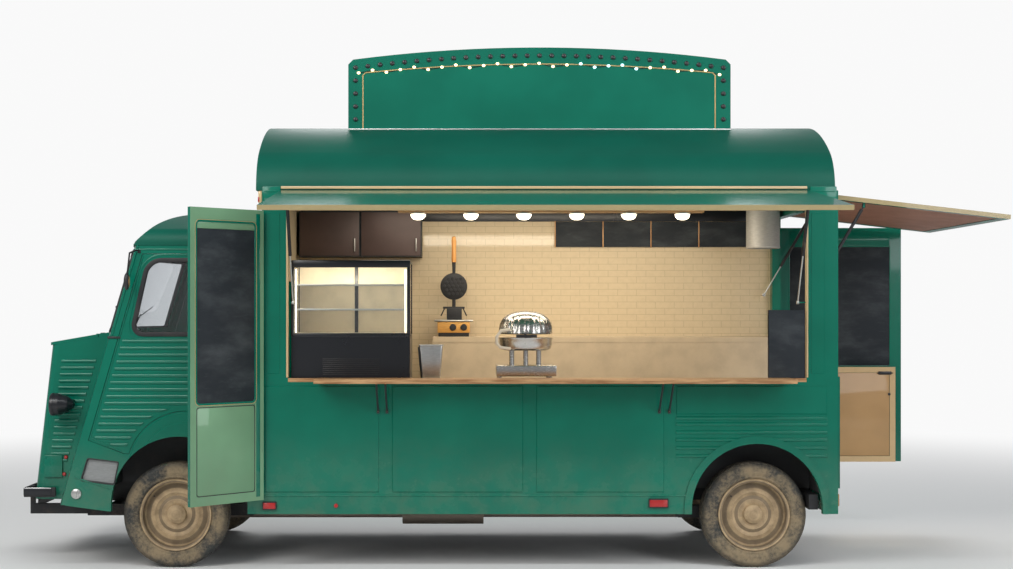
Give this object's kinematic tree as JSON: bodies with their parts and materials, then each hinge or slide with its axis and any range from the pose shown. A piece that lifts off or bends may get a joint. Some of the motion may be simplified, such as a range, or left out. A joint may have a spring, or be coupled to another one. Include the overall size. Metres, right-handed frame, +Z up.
{
  "type": "food truck",
  "caption": "Forward-control food truck with a raised kitchen body, arched roof, roof sign, open serving hatch, tailgate and menu doors",
  "frame": {"origin": "centre of the bounding box's footprint, on the ground", "axes": "+X along the truck to its rear, -Y to the serving side, +Z up"},
  "size_m": [6.7318, 3.2536, 3.6028],
  "materials": {
    "body_paint": "gloss",
    "roof_paint": "gloss",
    "door_paint": "satin",
    "black_steel": "satin",
    "bare_steel": "satin",
    "engine_iron": "matt",
    "rim_paint": "satin",
    "tyre": "matt",
    "glass": "gloss",
    "seat_cloth": "matt",
    "floor_lining": "matt",
    "wood": "satin",
    "counter_white": "satin",
    "board_black": "matt",
    "lamp_glass": "gloss",
    "dark_plastic": "gloss",
    "zinc": "satin"
  },
  "bodies": {
    "truck": {"appliances": "bare_steel", "bulkhead": "body_paint", "bumper": "black_steel", "cab_floor": "floor_lining", "cab_front": "body_paint", "cab_roof": "roof_paint", "cab_sides": "body_paint", "chassis": "black_steel", "counters": "counter_white", "dashboard": "dark_plastic", "display_case": "dark_plastic", "display_glass": "glass", "engine": "engine_iron", "exhaust": "bare_steel", "front_subframe": "black_steel", "fuel_tank": "black_steel", "headlamps": "dark_plastic", "kitchen_floor": "floor_lining", "kitchen_left": "body_paint", "kitchen_right": "body_paint", "lamps": "lamp_glass", "nose": "body_paint", "rear_axle": "black_steel", "rear_frame": "body_paint", "roof": "roof_paint", "seats": "seat_cloth", "shelf": "wood", "sign": "body_paint", "sign_bulbs": "dark_plastic", "wall_boards": "board_black", "windscreen": "glass", "wings": "body_paint"},
    "hatch": {"hatch": "body_paint"},
    "hatch_tubes": {"hatch_tubes": "black_steel"},
    "hatch_rods": {"hatch_rods": "zinc"},
    "tailgate": {"tailgate": "body_paint"},
    "tailgate_tubes": {"tailgate_tubes": "black_steel"},
    "tailgate_rods": {"tailgate_rods": "zinc"},
    "rear_door_left": {"rear_door_left": "body_paint"},
    "rear_door_right": {"rear_door_right": "body_paint"},
    "menu_door_front": {"menu_door_front": "door_paint"},
    "menu_door_rear": {"menu_door_rear": "body_paint"},
    "cab_door_left": {"cab_door_left": "body_paint", "door_glass_left": "glass"},
    "cab_door_right": {"cab_door_right": "body_paint", "door_glass_right": "glass"},
    "bonnet": {"bonnet": "body_paint"},
    "knuckle_left": {"knuckle_left": "black_steel"},
    "knuckle_right": {"knuckle_right": "black_steel"},
    "wheel_front_left": {"rim_front_left": "rim_paint", "tyre_front_left": "tyre"},
    "wheel_front_right": {"rim_front_right": "rim_paint", "tyre_front_right": "tyre"},
    "wheel_rear_left": {"rim_rear_left": "rim_paint", "tyre_rear_left": "tyre"},
    "wheel_rear_right": {"rim_rear_right": "rim_paint", "tyre_rear_right": "tyre"}
  },
  "joints": [
    {"name": "roll_front_left", "type": "hinge", "parent": "knuckle_left", "child": "wheel_front_left", "pos_m": [-2.25589, -0.23318, 0.355], "axis": [0, -1, 0], "continuous": true},
    {"name": "roll_front_right", "type": "hinge", "parent": "knuckle_right", "child": "wheel_front_right", "pos_m": [-2.25589, 1.40082, 0.355], "axis": [0, -1, 0], "continuous": true},
    {"name": "roll_rear_left", "type": "hinge", "parent": "truck", "child": "wheel_rear_left", "pos_m": [1.64011, -0.23318, 0.355], "axis": [0, -1, 0], "continuous": true},
    {"name": "roll_rear_right", "type": "hinge", "parent": "truck", "child": "wheel_rear_right", "pos_m": [1.64011, 1.40082, 0.355], "axis": [0, -1, 0], "continuous": true},
    {"name": "steer_left", "type": "hinge", "parent": "truck", "child": "knuckle_left", "pos_m": [-2.25589, -0.10618, 0.355], "axis": [0, 0, -1], "range_deg": [-30, 30]},
    {"name": "steer_right", "type": "hinge", "parent": "truck", "child": "knuckle_right", "pos_m": [-2.25589, 1.27382, 0.355], "axis": [0, 0, -1], "range_deg": [-30, 30]},
    {"name": "cab_door_left_swing", "type": "hinge", "parent": "truck", "child": "cab_door_left", "pos_m": [-1.79889, -0.42818, 1.4], "axis": [0, 0, 1], "range_deg": [0, 46]},
    {"name": "cab_door_right_swing", "type": "hinge", "parent": "truck", "child": "cab_door_right", "pos_m": [-1.79889, 1.59582, 1.4], "axis": [0, 0, -1], "range_deg": [0, 46]},
    {"name": "bonnet_lift", "type": "hinge", "parent": "truck", "child": "bonnet", "pos_m": [-2.85789, 0.58382, 1.56992], "axis": [0, 1, 0], "range_deg": [0, 60]},
    {"name": "hatch_swing", "type": "hinge", "parent": "truck", "child": "hatch", "pos_m": [-0.25589, -0.42218, 2.505], "axis": [-1, 0, 0], "range_deg": [-81.33, 0]},
    {"name": "tailgate_swing", "type": "hinge", "parent": "truck", "child": "tailgate", "pos_m": [2.18511, 0.58382, 2.48], "axis": [0, -1, 0], "range_deg": [-83.5, 0]},
    {"name": "rear_door_left_swing", "type": "hinge", "parent": "truck", "child": "rear_door_left", "pos_m": [2.18511, -0.32918, 0.9], "axis": [0, 0, -1], "range_deg": [0, 90]},
    {"name": "rear_door_right_swing", "type": "hinge", "parent": "truck", "child": "rear_door_right", "pos_m": [2.18511, 1.49682, 0.9], "axis": [0, 0, 1], "range_deg": [-90, 0]},
    {"name": "menu_door_front_swing", "type": "hinge", "parent": "truck", "child": "menu_door_front", "pos_m": [-1.65989, -0.43318, 1.4], "axis": [0, 0, 1], "range_deg": [-38, 45]},
    {"name": "menu_door_rear_swing", "type": "hinge", "parent": "truck", "child": "menu_door_rear", "pos_m": [2.18511, 1.61982, 1.4], "axis": [0, 0, 1], "range_deg": [0, 170]},
    {"name": "hatch_tube_turn", "type": "hinge", "parent": "hatch", "child": "hatch_tubes", "pos_m": [-0.25589, -0.72501, 2.43454], "axis": [1, 0, 0], "range_deg": [-108.05, 0]},
    {"name": "hatch_rod_slide", "type": "slide", "parent": "hatch_tubes", "child": "hatch_rods", "axis": [0, 0.4571, -0.8894], "range_m": [-0.3233, 0]},
    {"name": "tailgate_tube_turn", "type": "hinge", "parent": "tailgate", "child": "tailgate_tubes", "pos_m": [2.38409, 0.58382, 2.43317], "axis": [0, 1, 0], "range_deg": [-98.96, 0]},
    {"name": "tailgate_rod_slide", "type": "slide", "parent": "tailgate_tubes", "child": "tailgate_rods", "axis": [-0.5069, 0, -0.862], "range_m": [-0.2358, 0]}
  ],
  "couplings": [
    {"joint": "steer_right", "follows": "steer_left", "ratio": 1},
    {"joint": "hatch_tube_turn", "follows": "hatch_swing", "ratio": 1.3224},
    {"joint": "hatch_rod_slide", "follows": "hatch_swing", "m_per_rad": 0.22561},
    {"joint": "tailgate_tube_turn", "follows": "tailgate_swing", "ratio": 1.1792},
    {"joint": "tailgate_rod_slide", "follows": "tailgate_swing", "m_per_rad": 0.15974}
  ]
}
